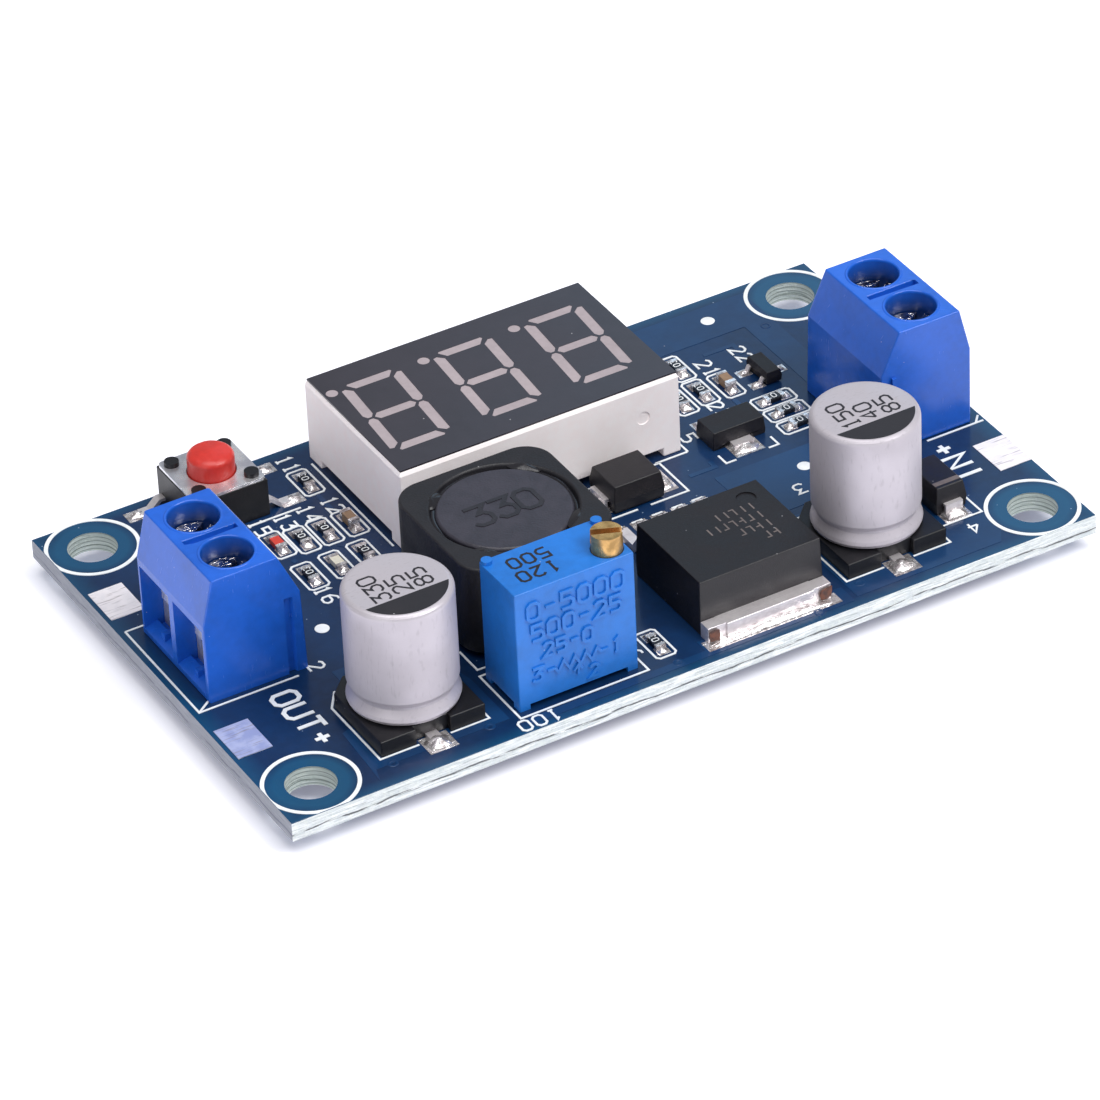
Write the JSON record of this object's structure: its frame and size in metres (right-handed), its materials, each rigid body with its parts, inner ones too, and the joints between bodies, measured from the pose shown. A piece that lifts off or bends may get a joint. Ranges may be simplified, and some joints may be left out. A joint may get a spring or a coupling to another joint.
{
  "type": "buck converter module",
  "caption": "Step-down converter board with digit display, screw terminals, trimmer, push button, shielded inductor and can capacitors.",
  "frame": {"origin": "centre of the mounting hole pattern, on the underside of the circuit board", "axes": "+X towards the input terminal along the board's length, +Y towards the display edge, +Z out of the populated side"},
  "size_m": [0.066, 0.0398, 0.0145],
  "materials": {
    "solder_mask": "gloss",
    "solder": "satin",
    "blue_plastic": "satin",
    "tinned_brass": "satin",
    "plated_steel": "gloss",
    "trimmer_blue": "satin",
    "yellow_brass": "satin",
    "nylon": "matte",
    "ceramic": "matte",
    "tinned_wire": "satin",
    "display_grey": "matte",
    "display_dark": "matte",
    "display_resin": "matte",
    "glass_fibre": "matte",
    "ferrite": "matte",
    "copper_wire": "gloss",
    "mould_compound": "matte",
    "can_aluminium": "satin",
    "base_black": "satin",
    "cap_red": "satin",
    "chip_black": "satin",
    "chip_tan": "matte",
    "light_white": "satin"
  },
  "bodies": {
    "board": {"pcb": "solder_mask", "through_hole_solder": "solder", "out_terminal_housing": "blue_plastic", "out_terminal_contacts": "tinned_brass", "in_terminal_housing": "blue_plastic", "in_terminal_contacts": "tinned_brass", "trimmer_case": "trimmer_blue", "trimmer_plate": "ceramic", "trimmer_base": "trimmer_blue", "trimmer_pins": "tinned_wire", "display_case": "display_grey", "display_face": "display_dark", "display_bars": "display_resin", "display_emitter_board": "glass_fibre", "display_pins": "tinned_wire", "inductor_shield": "ferrite", "inductor_drum": "ferrite", "inductor_winding": "copper_wire", "inductor_terminals": "tinned_wire", "regulator_body": "mould_compound", "regulator_tab": "tinned_brass", "regulator_leads": "tinned_wire", "out_capacitor_can": "can_aluminium", "out_capacitor_base": "base_black", "out_capacitor_leads": "tinned_wire", "in_capacitor_can": "can_aluminium", "in_capacitor_base": "base_black", "in_capacitor_leads": "tinned_wire", "button_base": "base_black", "button_cover": "plated_steel", "button_dome": "plated_steel", "button_leads": "tinned_wire", "in_diode_body": "mould_compound", "in_diode_straps": "tinned_wire", "out_diode_body": "mould_compound", "out_diode_straps": "tinned_wire", "small_regulator_body": "mould_compound", "small_regulator_leads": "tinned_wire", "reference_body": "mould_compound", "reference_leads": "tinned_wire", "controller_body": "mould_compound", "controller_leads": "tinned_wire", "chip_resistors": "chip_black", "chip_capacitors": "chip_tan", "indicator_lights": "light_white", "chip_ends": "tinned_wire"},
    "out_plus_guard_body": {"out_plus_guard": "plated_steel"},
    "out_plus_screw_body": {"out_plus_screw": "plated_steel"},
    "out_minus_guard_body": {"out_minus_guard": "plated_steel"},
    "out_minus_screw_body": {"out_minus_screw": "plated_steel"},
    "in_plus_guard_body": {"in_plus_guard": "plated_steel"},
    "in_plus_screw_body": {"in_plus_screw": "plated_steel"},
    "in_minus_guard_body": {"in_minus_guard": "plated_steel"},
    "in_minus_screw_body": {"in_minus_screw": "plated_steel"},
    "trimmer_screw_body": {"trimmer_screw": "yellow_brass"},
    "trimmer_wheel_body": {"trimmer_wheel": "nylon"},
    "button_cap_body": {"button_cap": "cap_red"}
  },
  "joints": [
    {"name": "out_plus_guard_slide", "type": "slide", "parent": "board", "child": "out_plus_guard_body", "axis": [0, 0, 1], "range_m": [-0.0018, 0]},
    {"name": "out_plus_screw_turn", "type": "hinge", "parent": "out_plus_guard_body", "child": "out_plus_screw_body", "pos_m": [-0.02785, -0.00224, 0.0016], "axis": [0, 0, 1], "range_deg": [-1440.1, 0]},
    {"name": "out_minus_guard_slide", "type": "slide", "parent": "board", "child": "out_minus_guard_body", "axis": [0, 0, 1], "range_m": [-0.0018, 0]},
    {"name": "out_minus_screw_turn", "type": "hinge", "parent": "out_minus_guard_body", "child": "out_minus_screw_body", "pos_m": [-0.02785, 0.00284, 0.0016], "axis": [0, 0, 1], "range_deg": [-1440.1, 0]},
    {"name": "in_plus_guard_slide", "type": "slide", "parent": "board", "child": "in_plus_guard_body", "axis": [0, 0, 1], "range_m": [-0.0018, 0]},
    {"name": "in_plus_screw_turn", "type": "hinge", "parent": "in_plus_guard_body", "child": "in_plus_screw_body", "pos_m": [0.0284, -0.00254, 0.0016], "axis": [0, 0, 1], "range_deg": [-1440.1, 0]},
    {"name": "in_minus_guard_slide", "type": "slide", "parent": "board", "child": "in_minus_guard_body", "axis": [0, 0, 1], "range_m": [-0.0018, 0]},
    {"name": "in_minus_screw_turn", "type": "hinge", "parent": "in_minus_guard_body", "child": "in_minus_screw_body", "pos_m": [0.0284, 0.00254, 0.0016], "axis": [0, 0, 1], "range_deg": [-1440.1, 0]},
    {"name": "trimmer_screw_turn", "type": "hinge", "parent": "board", "child": "trimmer_screw_body", "pos_m": [-0.0054, -0.0162, 0.0116], "axis": [0, 0, 1], "range_deg": [-4500, 4500]},
    {"name": "trimmer_wheel_turn", "type": "hinge", "parent": "board", "child": "trimmer_wheel_body", "pos_m": [-0.0088, -0.0162, 0.0067], "axis": [0, 1, 0], "range_deg": [-150.01, 150.01]},
    {"name": "button_press", "type": "slide", "parent": "board", "child": "button_cap_body", "axis": [0, 0, 1], "range_m": [-0.00025, 0], "stiffness_N_per_m": 6400, "deforming": ["button_dome"]}
  ],
  "couplings": [
    {"joint": "out_plus_screw_turn", "follows": "out_plus_guard_slide", "rad_per_m": 13963},
    {"joint": "out_minus_screw_turn", "follows": "out_minus_guard_slide", "rad_per_m": 13963},
    {"joint": "in_plus_screw_turn", "follows": "in_plus_guard_slide", "rad_per_m": 13963},
    {"joint": "in_minus_screw_turn", "follows": "in_minus_guard_slide", "rad_per_m": 13963},
    {"joint": "trimmer_wheel_turn", "follows": "trimmer_screw_turn", "ratio": 0.033333}
  ]
}
